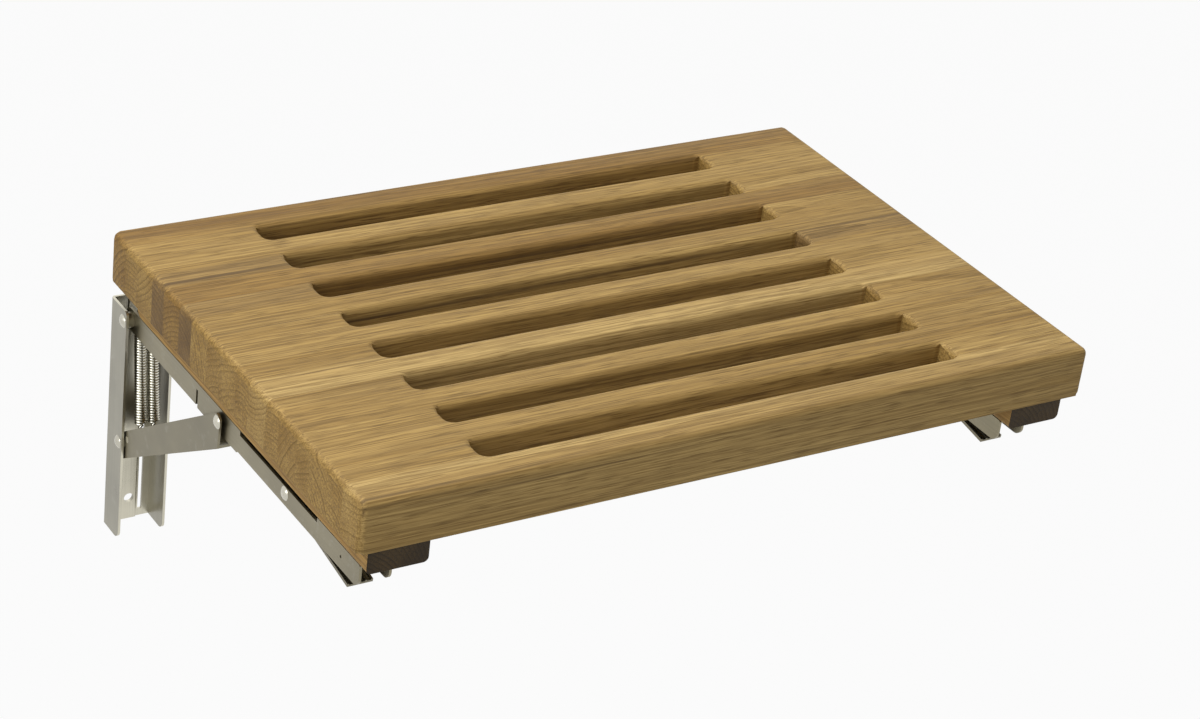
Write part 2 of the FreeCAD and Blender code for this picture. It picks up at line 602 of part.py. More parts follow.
def lever(side):
    under, upper = "-sizes.lever_plate_drop", "-sizes.lever_plate_drop + sizes.lever_wall"
    slope = "(tan(sizes.lever_droop) - sizes.tail_rise / sizes.lever_tail)"
    tail, finger = "sizes.lever_tail", "-sizes.lever_finger"
    nose = "(%s - sizes.latch_length)" % tail
    body = newBody(side + "_release_lever", x=SIDES[side], y=LEVER_Y, z=LEVER_Z, tilt="sizes.lever_droop")
    plate = sketch(body, side + "_lever_side", "YZ_Plane")
    addOutline(plate, [(finger, under), ("0", under), (tail, "%s - %s * %s" % (under, tail, slope)),
                       (tail, "%s - %s * %s + sizes.latch_rise" % (upper, tail, slope)),
                       (nose, "%s - %s * %s + sizes.latch_rise" % (upper, nose, slope)),
                       (nose, "%s - %s * %s" % (upper, nose, slope)), ("0", upper), (finger, upper)])
    pad(body, plate, "sizes.lever_width")
    ears = sketch(body, side + "_lever_ears", "YZ_Plane")
    addOutline(ears, box("-sizes.ear_reach", under, "sizes.ear_reach", "sizes.ear_rise"))
    pad(body, ears, "sizes.lever_width")
    between = sketch(body, side + "_ear_gap", "YZ_Plane")
    addOutline(between, [("-2 * sizes.ear_reach", upper), ("0", upper),
                         ("2 * sizes.ear_reach", "%s - 2 * sizes.ear_reach * %s" % (upper, slope)),
                         ("2 * sizes.ear_reach", "2 * sizes.ear_rise"), ("-2 * sizes.ear_reach", "2 * sizes.ear_rise")])
    pocket(body, between, "sizes.lever_width - 2 * sizes.lever_wall")
    roundOff(body, "sizes.ear_rise / 2", anyOf(crossEdge("-sizes.ear_reach", "sizes.ear_rise"),
                                               crossEdge("sizes.ear_reach", "sizes.ear_rise")))
    ribs = sketch(body, side + "_ribs", "XZ_Plane", lift="sizes.rib_start")
    count = int(number("sizes.rib_count"))
    pitch = "(sizes.lever_width - sizes.rib_width) / (sizes.rib_count - 1)"
    for i in range(count):
        left = "-sizes.lever_width / 2 + %d * %s" % (i, pitch)
        addOutline(ribs, box(left, "%s - sizes.lever_wall / 2" % upper, "%s + sizes.rib_width" % left,
                             "%s + sizes.rib_rise" % upper))
    pad(body, ribs, "sizes.lever_finger - sizes.rib_start", "One side")
    pierce(body, side + "_lever_pivot", [("0", "0", "sizes.lever_pin_width / 2 + sizes.pin_play")],
           "sizes.lever_width")
    return body


def fromCentre(side, distance):
    return "%s + %s" % (SIDES[side], distance)


def upperPin(side):
    half = "sizes.rail_width / 2"
    name = side + "_upper_pivot_pin"
    shaft = rod(name + "_shaft", fromCentre(side, "-" + half), PIVOT_Y, PIVOT_Z, PIN_R, "sizes.rail_width")
    heads = [dome(name + "_head_a", fromCentre(side, "-" + half), PIVOT_Y, PIVOT_Z, -1),
             dome(name + "_head_b", fromCentre(side, half), PIVOT_Y, PIVOT_Z, 1)]
    return combine("Part::MultiFuse", name, [shaft] + heads)


def stubRivets(side, label, y, z, inner, outer, inner_head):
    # Two rivets that face each other across the bracket, one through each pair of flanges
    rivets = []
    for tag, facing in (("a", -1), ("b", 1)):
        start = inner if facing > 0 else "-(%s)" % outer
        name = "%s_%s_%s" % (side, label, tag)
        parts = [rod(name + "_shaft", fromCentre(side, start), y, z, PIN_R, "%s - (%s)" % (outer, inner)),
                 dome(name + "_head", "%s + %d * (%s)" % (SIDES[side], facing, outer), y, z, facing)]
        if inner_head:
            parts.append(dome(name + "_foot", "%s + %d * (%s)" % (SIDES[side], facing, inner), y, z, -facing,
                              "sizes.inner_head_width", "sizes.inner_head_rise"))
        rivets.append(combine("Part::MultiFuse", name, parts))
    return combine("Part::Compound", "%s_%s" % (side, label), rivets)


def rings(side, label, z, inner, outer):
    # A pair of spacers or washers that fill the room between two channels
    pair = []
    for tag, start in (("a", "-(%s) + sizes.side_play" % outer), ("b", "%s + sizes.side_play" % inner)):
        pair.append(ring("%s_%s_%s" % (side, label, tag), fromCentre(side, start), PIVOT_Y, z,
                         "sizes.spacer_width / 2", PIN_R, "%s - (%s) - 2 * sizes.side_play" % (outer, inner)))
    return combine("Part::Compound", "%s_%s" % (side, label), pair)


def leverPin(side):
    half = "sizes.arm_width / 2"
    name = side + "_lever_pin"
    shaft = rod(name + "_shaft", fromCentre(side, "-" + half), LEVER_Y, LEVER_Z, "sizes.lever_pin_width / 2",
                "sizes.arm_width")
    heads = [dome(name + "_head_a", fromCentre(side, "-" + half), LEVER_Y, LEVER_Z, -1),
             dome(name + "_head_b", fromCentre(side, half), LEVER_Y, LEVER_Z, 1)]
    return combine("Part::MultiFuse", name, [shaft] + heads)


ANCHOR_Y = "(%s - sizes.anchor_reach * sizes.strut_reach / %s)" % (PIVOT_Y, STRUT_LENGTH)
ANCHOR_Z = "(%s + sizes.anchor_reach * %s / %s)" % (LOW_Z, STRUT_RISE, STRUT_LENGTH)


def anchorPin(side):
    # Round where it is riveted in the strut, and a thin blade between, square to the strut
    body = newBody(side + "_spring_anchor", x=SIDES[side], y=ANCHOR_Y, z=ANCHOR_Z, tilt=STRUT_TILT)
    round_ = sketch(body, side + "_anchor_round", "YZ_Plane")
    addCircle(round_, ("0", "0"), "sizes.anchor_width / 2")
    pad(body, round_, "sizes.strut_width + 2 * sizes.anchor_proud")
    flats = sketch(body, side + "_anchor_flats", "YZ_Plane")
    for sign in ("", "-"):
        addOutline(flats, box(sign + "sizes.anchor_blade / 2", "-sizes.anchor_width",
                              sign + "sizes.anchor_width", "sizes.anchor_width"))
    pocket(body, flats, "sizes.strut_width - 2 * (sizes.strut_wall + sizes.anchor_step)")
    return body


# The springs: one wire from hook to hook, laid on pairs of tangent arcs
def tangentArc(start, corner, end):
    chord = end - start
    middle = (start + end) * 0.5
    lift = corner - middle
    if lift.Length < 1e-6:
        return Part.LineSegment(start, end).toShape()
    half = math.atan2(lift.Length, chord.Length / 2)
    sagitta = chord.Length / 2 * math.tan(half / 2)
    return Part.Arc(start, middle + lift.normalize() * sagitta, end).toShape()


def biarc(first, second):
    (p, t), (q, u) = first, second
    v = q - p
    along, turn = v.dot(t + u), 1 - t.dot(u)
    if turn < 1e-9:
        reach = v.dot(v) / (4 * v.dot(u))
    else:
        reach = (-along + math.sqrt(along * along + 2 * turn * v.dot(v))) / (2 * turn)
    a, b = p + t * reach, q - u * reach
    joint = (a + b) * 0.5
    return [tangentArc(p, a, joint), tangentArc(joint, b, q)]


def springKnots(top, foot, x):
    wire, outer = number("sizes.spring_wire"), number("sizes.spring_width")
    gap, neck = number("sizes.hook_gap"), number("sizes.hook_neck")
    curls = int(number("sizes.spring_curls"))
    coil = (outer - wire) / 2
    across = FreeCAD.Vector(1, 0, 0)
    down = (foot - top).normalize()
    side = down.cross(across)
    hook_top = number(PIN_R) + gap + wire / 2
    hook_foot = number("sizes.anchor_width / 2") + gap + wire / 2
    knots = []
    for step in range(-3, 1):
        angle = step * math.pi / 2
        out = side * math.cos(angle) + down * math.sin(angle)
        knots.append((top + out * hook_top, down * math.cos(angle) - side * math.sin(angle)))
    first, last = hook_top + neck, (foot - top).Length - hook_foot - neck
    pitch = (last - first) / curls
    for step in range(2 * curls + 1):
        angle = step * math.pi
        spot = top + down * (first + pitch * step / 2) + (side * math.cos(angle) + across * math.sin(angle)) * coil
        course = (across * math.cos(angle) - side * math.sin(angle)) * coil + down * (pitch / (2 * math.pi))
        knots.append((spot, course.normalize()))
    for step in range(0, 4):
        angle = step * math.pi / 2
        out = side * math.cos(angle) + down * math.sin(angle)
        knots.append((foot + out * hook_foot, down * math.cos(angle) - side * math.sin(angle)))
    offset = FreeCAD.Vector(x, 0, 0)
    return [(spot + offset, course) for spot, course in knots]


def leastGap(path, wire, coil):
    # Points along the wire, compared where they are over half a turn apart
    step = wire / 3
    points = path.discretize(Distance=step)
    apart = int(math.pi * coil / step) + 1
    least = min((points[i] - points[j]).Length
                for i in range(len(points)) for j in range(i + apart, len(points)))
    return least - wire


def spring(side, tag, sign):
    wire = number("sizes.spring_wire")
    x = number(SIDES[side]) + sign * number("sizes.spring_side")
    top = FreeCAD.Vector(0, number(PIVOT_Y), number(PIVOT_Z))
    foot = FreeCAD.Vector(0, number(ANCHOR_Y), number(ANCHOR_Z))
    knots = springKnots(top, foot, x)
    edges = []
    for first, second in zip(knots, knots[1:]):
        edges.extend(biarc(first, second))
    path = Part.Wire(edges)
    start, course = knots[0]
    section = Part.Wire([Part.Circle(start, course, wire / 2).toShape()])
    shell = Part.BRepOffsetAPI.MakePipeShell(path)
    shell.add(section)
    shell.build()
    shell.makeSolid()
    made = doc.addObject("Part::Feature", "%s_spring_%s" % (side, tag))
    made.Shape = shell.shape()
    coil = (number("sizes.spring_width") - wire) / 2
    print("%s: least gap to itself %.2f mm" % (made.Name, leastGap(path, wire, coil)))
    return made


# The parts, by the name of their file
def build():
    parts = {}
    holes = screwHoles()
    board = combine("Part::Cut", "drilled_board", [seatBoard(), holes])
    doc.recompute()
    slats = int(number("sizes.slat_count"))
    for index in range(slats):
        name = "slat_%d" % (index + 1)
        box_ = staveBox(name + "_box", index, SEAT_LEFT, "sizes.seat_width")
        parts[name] = combine("Part::Common", name, [board, box_])
    ends = {"left": SEAT_LEFT, "right": "%s + sizes.seat_width - sizes.slot_inset" % SEAT_LEFT}
    for side, x in ends.items():
        fillers = [fillerBox("%s_filler_%d" % (side, i + 1), i, x) for i in range(slats - 1)]
        name = side + "_spacer_blocks"
        parts[name] = combine("Part::Common", name,
                              [board, combine("Part::Compound", side + "_filler_boxes", fillers)])
    for side, x in (("left", LEFT_CLEAT), ("right", RIGHT_CLEAT)):
        parts[side + "_cleat"] = cleat(side, x, holes)
        screws = [screw("cleat_screw_" + name, sx, sy, CLEAT_BASE, "sizes.cleat_screw_length", False)
                  for where, name, sx, sy in cleatScrewPlaces() if where == side]
        parts[side + "_cleat_screws"] = combine("Part::Compound", side + "_cleat_screws", screws)
    for side in SIDES:
        buildBracket(side, parts)
    return parts


def buildBracket(side, parts):
    rail_in = "(sizes.rail_width / 2 - sizes.rail_wall)"
    strut_out, strut_in = "(sizes.strut_width / 2)", "(sizes.strut_width / 2 - sizes.strut_wall)"
    arm_out = "(sizes.arm_width / 2)"
    parts[side + "_wall_rail"] = wallRail(side)
    parts[side + "_arm_channel"] = arm(side)
    parts[side + "_strut"] = strut(side)
    parts[side + "_release_lever"] = lever(side)
    parts[side + "_upper_pivot_pin"] = upperPin(side)
    parts[side + "_lower_pivot_rivets"] = stubRivets(side, "lower_pivot_rivets", PIVOT_Y, LOW_Z,
                                                     "(%s - sizes.side_play)" % strut_in,
                                                     "(sizes.rail_width / 2)", True)
    c_y = "(%s - sizes.strut_reach)" % PIVOT_Y
    c_z = "(%s - sizes.strut_drop)" % CLEAT_BASE
    parts[side + "_strut_rivets"] = stubRivets(side, "strut_rivets", c_y, c_z, strut_in, strut_out, False)
    parts[side + "_pivot_spacers"] = rings(side, "pivot_spacers", PIVOT_Z, arm_out, rail_in)
    parts[side + "_strut_washers"] = rings(side, "strut_washers", LOW_Z, strut_out, rail_in)
    parts[side + "_lever_pin"] = leverPin(side)
    parts[side + "_spring_anchor"] = anchorPin(side)
    for tag, sign in (("outer", -1), ("inner", 1)):
        parts["%s_spring_%s" % (side, tag)] = spring(side, tag, sign)
    screws = [screw("arm_screw_" + name, x, y, ARM_SCREW_Z, "sizes.arm_screw_length", True)
              for where, name, x, y in armScrewPlaces() if where == side]
    parts[side + "_arm_screws"] = combine("Part::Compound", side + "_arm_screws", screws)


def main():
    parts = build()
    doc.recompute()
    for made in doc.Objects:
        if "Invalid" in made.State or "Error" in made.State:
            raise RuntimeError("%s did not recompute: %s" % (made.Name, made.State))
    os.makedirs("parts", exist_ok=True)
    for name, made in parts.items():
        shape = made.Shape
        if shape.isNull() or not shape.isValid() or not shape.Solids:
            raise RuntimeError("%s has no valid solid" % name)
        made.Label = name
        shape.exportStep("parts/%s.step" % name)
    print("%d parts written" % len(parts))


main()
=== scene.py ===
import bmesh
import bpy
import math
from mathutils import Matrix, Vector


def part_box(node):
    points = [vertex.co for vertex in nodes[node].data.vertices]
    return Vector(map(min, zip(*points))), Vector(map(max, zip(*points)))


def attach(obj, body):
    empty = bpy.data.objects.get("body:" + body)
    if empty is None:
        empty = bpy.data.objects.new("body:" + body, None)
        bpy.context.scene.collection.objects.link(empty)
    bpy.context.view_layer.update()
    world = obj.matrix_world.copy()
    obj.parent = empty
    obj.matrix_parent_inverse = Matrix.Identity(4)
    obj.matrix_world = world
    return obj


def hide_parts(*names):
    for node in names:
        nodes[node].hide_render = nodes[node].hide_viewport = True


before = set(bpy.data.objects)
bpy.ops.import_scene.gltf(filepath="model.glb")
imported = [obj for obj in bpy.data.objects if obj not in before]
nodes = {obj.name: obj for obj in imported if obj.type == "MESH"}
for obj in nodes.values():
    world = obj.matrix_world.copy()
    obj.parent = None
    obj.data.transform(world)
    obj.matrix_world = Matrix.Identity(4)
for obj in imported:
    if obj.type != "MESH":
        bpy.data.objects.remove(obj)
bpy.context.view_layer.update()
mm = 0.001
sides = ("left", "right")
print("frame loaded with", len(nodes), "nodes")


# Node helpers
def calc(tree, operation, *inputs, clamp=False):
    node = tree.nodes.new("ShaderNodeMath")
    node.operation = operation
    node.use_clamp = clamp
    for socket, value in zip(node.inputs, inputs):
        feed(tree, value, socket)
    return node.outputs[0]


def feed(tree, value, socket):
    if isinstance(value, bpy.types.NodeSocket):
        tree.links.new(value, socket)
    else:
        socket.default_value = value


def stretch(tree, vector, scales, shift=None):
    node = tree.nodes.new("ShaderNodeVectorMath")
    node.operation = "MULTIPLY_ADD"
    feed(tree, vector, node.inputs[0])
    node.inputs[1].default_value = scales
    if shift is not None:
        feed(tree, shift, node.inputs[2])
    return node.outputs[0]


def noise(tree, vector, scale=1.0, detail=2.0, rough=0.5):
    node = tree.nodes.new("ShaderNodeTexNoise")
    feed(tree, vector, node.inputs["Vector"])
    node.inputs["Scale"].default_value = scale
    node.inputs["Detail"].default_value = detail
    node.inputs["Roughness"].default_value = rough
    return node.outputs["Fac"]


def spread(tree, value, low, high, newLow=0.0, newHigh=1.0):
    node = tree.nodes.new("ShaderNodeMapRange")
    for socket, number in zip(node.inputs, (value, low, high, newLow, newHigh)):
        feed(tree, number, socket)
    return node.outputs[0]


def blendColour(tree, share, first, second, kind="MIX"):
    node = tree.nodes.new("ShaderNodeMix")
    node.data_type = "RGBA"
    node.blend_type = kind
    feed(tree, share, node.inputs[0])
    for socket, value in zip(node.inputs[6:8], (first, second)):
        feed(tree, (*value, 1.0) if isinstance(value, tuple) and len(value) == 3 else value, socket)
    return node.outputs[2]


def startGroup(name, inputs, outputs):
    tree = bpy.data.node_groups.new(name, "ShaderNodeTree")
    for label, kind in inputs:
        tree.interface.new_socket(label, in_out="INPUT", socket_type="NodeSocket" + kind)
    for label, kind in outputs:
        tree.interface.new_socket(label, in_out="OUTPUT", socket_type="NodeSocket" + kind)
    return tree, tree.nodes.new("NodeGroupInput"), tree.nodes.new("NodeGroupOutput")


# Teak: growth rings round an axis along X, long fibres, pores and a few dark streaks
def teakGrain():
    tree, given, made = startGroup(
        "teakGrain",
        [("Place", "Vector"), ("End", "Float"), ("Seed", "Float"), ("Centre", "Vector"), ("Ring Width", "Float"),
         ("Pale", "Color"), ("Deep", "Color"), ("Streaks", "Float")],
        [("Color", "Color"), ("Roughness", "Float"), ("Height", "Float")])
    place, end, seed = given.outputs["Place"], given.outputs["End"], given.outputs["Seed"]
    shift = tree.nodes.new("ShaderNodeCombineXYZ")
    for socket, factor in zip(shift.inputs, (3.7, 11.3, 7.9)):
        feed(tree, calc(tree, "MULTIPLY", seed, factor), socket)
    shift = shift.outputs[0]
    wander = noise(tree, stretch(tree, place, (2.6, 16.0, 16.0), shift), detail=2.0)
    ripple = noise(tree, stretch(tree, place, (9.0, 90.0, 90.0), shift), detail=2.0)
    offset = tree.nodes.new("ShaderNodeVectorMath")
    offset.operation = "SUBTRACT"
    feed(tree, stretch(tree, place, (0.0, 1.0, 1.0)), offset.inputs[0])
    feed(tree, given.outputs["Centre"], offset.inputs[1])
    reach = tree.nodes.new("ShaderNodeVectorMath")
    reach.operation = "LENGTH"
    feed(tree, offset.outputs[0], reach.inputs[0])
    radius = calc(tree, "MULTIPLY_ADD", wander, 0.016, reach.outputs["Value"])
    radius = calc(tree, "MULTIPLY_ADD", ripple, 0.0016, radius)
    turns = calc(tree, "DIVIDE", radius, given.outputs["Ring Width"])
    late = calc(tree, "POWER", calc(tree, "FRACT", turns), 2.6)
    year = tree.nodes.new("ShaderNodeTexWhiteNoise")
    year.noise_dimensions = "1D"
    feed(tree, calc(tree, "ADD", calc(tree, "FLOOR", turns), seed), year.inputs["W"])
    late = calc(tree, "MULTIPLY", late, spread(tree, year.outputs["Value"], 0.0, 1.0, 0.25, 1.0))
    band = noise(tree, stretch(tree, place, (1.6, 55.0, 55.0), shift), detail=3.0)
    fibre = noise(tree, stretch(tree, place, (14.0, 900.0, 900.0), shift), detail=3.0, rough=0.65)
    pores = noise(tree, stretch(tree, place, (55.0, 1500.0, 1500.0), shift), detail=1.5)
    vein = noise(tree, stretch(tree, place, (1.1, 120.0, 120.0), shift), detail=2.0)
    pores = spread(tree, pores, 0.55, 0.67)
    vein = calc(tree, "MULTIPLY", spread(tree, vein, 0.64, 0.70), given.outputs["Streaks"])
    vein = calc(tree, "MULTIPLY", vein, calc(tree, "SUBTRACT", 1.0, end))
    colour = blendColour(tree, spread(tree, band, 0.34, 0.66), given.outputs["Pale"], given.outputs["Deep"])
    ringShare = calc(tree, "MULTIPLY", late, spread(tree, end, 0.0, 1.0, 0.60, 0.90))
    dark = blendColour(tree, 1.0, given.outputs["Deep"], (0.46, 0.42, 0.34), "MULTIPLY")
    colour = blendColour(tree, ringShare, colour, dark)
    fibreTint = tree.nodes.new("ShaderNodeCombineColor")
    for socket, low in zip(fibreTint.inputs, (0.68, 0.64, 0.56)):
        feed(tree, spread(tree, fibre, 0.36, 0.64, low, 1.24), socket)
    colour = blendColour(tree, 1.0, colour, fibreTint.outputs[0], "MULTIPLY")
    colour = blendColour(tree, calc(tree, "MULTIPLY", pores, 0.72), colour, dark)
    colour = blendColour(tree, calc(tree, "MULTIPLY", vein, 0.75), colour, (0.060, 0.032, 0.012))
    # End faces darker: end grain, and at the slot ends also painted shade
    colour = blendColour(tree, end, colour, blendColour(tree, 1.0, colour, (0.86, 0.84, 0.76), "MULTIPLY"))
    feed(tree, colour, made.inputs["Color"])
    rough = spread(tree, fibre, 0.3, 0.7, 0.50, 0.68)
    feed(tree, calc(tree, "MULTIPLY_ADD", late, 0.06, rough), made.inputs["Roughness"])
    height = calc(tree, "MULTIPLY_ADD", pores, -0.7, calc(tree, "MULTIPLY", fibre, 0.5))
    feed(tree, calc(tree, "MULTIPLY_ADD", late, 0.35, height), made.inputs["Height"])
    return tree


# Sheet steel: rolling lines along the piece, cloudy patches and small rubs
def steelSkin():
    tree, given, made = startGroup(
        "steelSkin",
        [("Place", "Vector"), ("Rolled", "Vector"), ("Seed", "Float"), ("Base", "Color"), ("Dull", "Float")],
        [("Color", "Color"), ("Roughness", "Float"), ("Height", "Float")])
    place, seed = given.outputs["Place"], given.outputs["Seed"]
    shift = tree.nodes.new("ShaderNodeCombineXYZ")
    for socket, factor in zip(shift.inputs, (5.1, 2.3, 9.7)):
        feed(tree, calc(tree, "MULTIPLY", seed, factor), socket)
    lined = tree.nodes.new("ShaderNodeVectorMath")
    lined.operation = "MULTIPLY_ADD"
    for socket, value in zip(lined.inputs, (place, given.outputs["Rolled"], shift.outputs[0])):
        feed(tree, value, socket)
    lines = noise(tree, lined.outputs[0], detail=3.0, rough=0.6)
    cloud = noise(tree, stretch(tree, place, (28.0, 28.0, 28.0), shift.outputs[0]), detail=3.0)
    rub = noise(tree, stretch(tree, place, (160.0, 160.0, 160.0), shift.outputs[0]), detail=4.0)
    rub = spread(tree, rub, 0.60, 0.72)
    tone = calc(tree, "MULTIPLY_ADD", lines, 0.30, calc(tree, "MULTIPLY_ADD", cloud, 0.60, 0.55))
    tint = tree.nodes.new("ShaderNodeCombineColor")
    for socket, factor in zip(tint.inputs, (1.0, 1.0, 0.985)):
        feed(tree, calc(tree, "MULTIPLY", tone, factor), socket)
    colour = blendColour(tree, 1.0, given.outputs["Base"], tint.outputs[0], "MULTIPLY")
    feed(tree, blendColour(tree, calc(tree, "MULTIPLY", rub, 0.10), colour, (0.8, 0.79, 0.75)), made.inputs["Color"])
    rough = calc(tree, "MULTIPLY_ADD", cloud, 0.16, given.outputs["Dull"])
    feed(tree, calc(tree, "MULTIPLY_ADD", rub, 0.08, rough), made.inputs["Roughness"])
    feed(tree, calc(tree, "MULTIPLY_ADD", lines, 0.5, calc(tree, "MULTIPLY", cloud, 0.6)), made.inputs["Height"])
    return tree


teakGroup, steelGroup = teakGrain(), steelSkin()


def startMaterial(name):
    material = bpy.data.materials.new(name)
    material.use_nodes = True
    tree = material.node_tree
    shader = tree.nodes["Principled BSDF"]
    return material, tree, shader, tree.nodes.new("ShaderNodeTexCoord")


def placeGroup(tree, group, shader, values, bumpDepth, bumpStrength):
    node = tree.nodes.new("ShaderNodeGroup")
    node.node_tree = group
    for label, value in values.items():
        feed(tree, value, node.inputs[label])
    tree.links.new(node.outputs["Color"], shader.inputs["Base Color"])
    tree.links.new(node.outputs["Roughness"], shader.inputs["Roughness"])
    bump = tree.nodes.new("ShaderNodeBump")
    bump.inputs["Strength"].default_value = bumpStrength
    bump.inputs["Distance"].default_value = bumpDepth
    tree.links.new(node.outputs["Height"], bump.inputs["Height"])
    tree.links.new(bump.outputs["Normal"], shader.inputs["Normal"])
    return node


teak = {
    "tones": {  # pale and deep colour of the wood, as it looks oiled and dry
        "straw": ((0.480, 0.330, 0.125), (0.370, 0.238, 0.078)),
        "honey": ((0.425, 0.282, 0.096), (0.300, 0.184, 0.052)),
        "amber": ((0.345, 0.215, 0.064), (0.230, 0.130, 0.033)),
        "umber": ((0.262, 0.165, 0.062), (0.165, 0.098, 0.034)),
        # partly painted shadow: the cleats' end grain under the board
        "shadedEndGrain": ((0.085, 0.055, 0.023), (0.042, 0.027, 0.011)),
    },
    "bumpDepth": 0.12 * mm,
    "bumpStrength": 0.55,
    "gloss": 0.26,
}


def endMask(tree, coords):
    # How far a face is turned towards the ends of the stave
    split = tree.nodes.new("ShaderNodeSeparateXYZ")
    tree.links.new(coords.outputs["Normal"], split.inputs[0])
    return spread(tree, calc(tree, "ABSOLUTE", split.outputs[0]), 0.55, 0.85)


def teakStave(name, tone, seed, centre, ringWidth, streaks=1.0):
    material, tree, shader, coords = startMaterial(name)
    pale, deep = teak["tones"][tone]
    placeGroup(tree, teakGroup, shader, {
        "Place": coords.outputs["Object"], "End": endMask(tree, coords), "Seed": seed, "Centre": centre,
        "Ring Width": ringWidth, "Pale": (*pale, 1.0), "Deep": (*deep, 1.0), "Streaks": streaks},
        teak["bumpDepth"], teak["bumpStrength"])
    shader.inputs["Specular IOR Level"].default_value = teak["gloss"]
    return material


def setMaterial(piece, material):
    piece.data.materials.clear()
    piece.data.materials.append(material)


# The board is routed whole and then cut into its staves, so that every rim runs on over the joints
board = {
    "corner": 4.5 * mm,  # cutter's path in a slot's corners
    "rim": 4.0 * mm,
    "edge": 4.0 * mm,
    "under": 2.0 * mm,
    "foot": 0.8 * mm,  # outer lower edges
    "rounds": 6,  # faces over a rounding
    "over": 5.0 * mm,  # how far the slot cutters stand out of the board
    "hair": 0.01 * mm,  # cuts pass just clear of the slots' walls
    "smoothAngle": 32,
}


def selectNone():
    if bpy.context.mode != "OBJECT":
        bpy.ops.object.mode_set(mode="OBJECT")
    bpy.ops.object.select_all(action="DESELECT")


def activate(piece):
    selectNone()
    piece.select_set(True)
    bpy.context.view_layer.objects.active = piece


def applyModifiers(piece):
    activate(piece)
    for modifier in list(piece.modifiers):
        bpy.ops.object.modifier_apply(modifier=modifier.name)


def joinPieces(pieces):
    selectNone()
    for piece in pieces:
        piece.select_set(True)
    bpy.context.view_layer.objects.active = pieces[0]
    bpy.ops.object.join()
    return pieces[0]


def addBox(name, low, high):
    selectNone()
    bpy.ops.mesh.primitive_cube_add(size=1, location=(Vector(low) + Vector(high)) / 2,
                                    scale=Vector(high) - Vector(low))
    box = bpy.context.object
    box.name = name
    bpy.ops.object.transform_apply(location=True, rotation=True, scale=True)
    return box


def bevelEdges(piece, chosen, width):
    activate(piece)
    bpy.ops.object.mode_set(mode="EDIT")
    bpy.ops.mesh.select_mode(type="EDGE")
    bpy.ops.mesh.select_all(action="DESELECT")
    form = bmesh.from_edit_mesh(piece.data)
    for edge in form.edges:
        if chosen(edge):
            edge.select_set(True)
    bmesh.update_edit_mesh(piece.data)
    bpy.ops.mesh.bevel(offset=width, segments=board["rounds"], profile=0.5, affect="EDGES", clamp_overlap=False)
    bpy.ops.object.mode_set(mode="OBJECT")


def isUpright(edge):
    first, second = (vertex.co for vertex in edge.verts)
    return abs(first.z - second.z) > 10 * mm and (first - second).xy.length < 0.01 * mm


def isRim(edge, level):
    # An edge at that height between a flat face and a wall
    if any(abs(vertex.co.z - level) > 0.01 * mm for vertex in edge.verts) or len(edge.link_faces) != 2:
        return False
    tilts = sorted(abs(face.normal.z) for face in edge.link_faces)
    return tilts[0] < 0.1 and tilts[1] > 0.9


def cutAway(piece, cutter):
    cut = piece.modifiers.new("cut", "BOOLEAN")
    cut.operation = "DIFFERENCE"
    cut.solver = "EXACT"
    cut.object = cutter
    applyModifiers(piece)
    bpy.data.objects.remove(cutter, do_unlink=True)


def slotCutter(slots, low, high, rounded):
    cutters = []
    for x0, y0, x1, y1 in slots:
        cutter = addBox("cutter", (x0, y0, low.z - board["over"]), (x1, y1, high.z + board["over"]))
        if rounded:
            bevelEdges(cutter, isUpright, board["corner"])
        cutters.append(cutter)
    return joinPieces(cutters)


def routeBoard():
    low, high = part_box("slat_1")[0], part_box("slat_9")[1]
    slotLeft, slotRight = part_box("left_spacer_blocks")[1].x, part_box("right_spacer_blocks")[0].x
    slots = [(slotLeft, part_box("slat_%d" % k)[1].y, slotRight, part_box("slat_%d" % (k + 1))[0].y) for k in range(1, 9)]
    whole = addBox("wholeBoard", low, high)
    cutAway(whole, slotCutter(slots, low, high, True))

    def outside(edge):
        middle = (edge.verts[0].co + edge.verts[1].co) / 2
        return min(middle.x - low.x, high.x - middle.x, middle.y - low.y, high.y - middle.y) < 0.01 * mm
    bevelEdges(whole, lambda e: outside(e) and (isUpright(e) or isRim(e, high.z)), board["edge"])
    bevelEdges(whole, lambda e: isRim(e, high.z), board["rim"])
    bevelEdges(whole, lambda e: isRim(e, low.z) and outside(e), board["foot"])
    bevelEdges(whole, lambda e: isRim(e, low.z) and not outside(e), board["under"])
    cutAway(whole, slotCutter(slots, low, high, False))
    return whole


def keepBetween(whole, name, axis, start, end):
    # A copy of the board between two planes across that axis
    activate(whole)
    bpy.ops.object.duplicate()
    part = bpy.context.object
    part.name = name
    bpy.ops.object.mode_set(mode="EDIT")
    for limit, side in ((start, {"clear_inner": True}), (end, {"clear_outer": True})):
        bpy.ops.mesh.select_all(action="SELECT")
        bpy.ops.mesh.bisect(plane_co=axis * limit, plane_no=axis, use_fill=True, threshold=0.0005 * mm, **side)
    bpy.ops.object.mode_set(mode="OBJECT")
    return part


def finishStave(part, node, material):
    activate(part)
    bpy.ops.object.shade_smooth_by_angle(angle=math.radians(board["smoothAngle"]))
    setMaterial(part, material)
    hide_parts(node)
    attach(part, "seat")


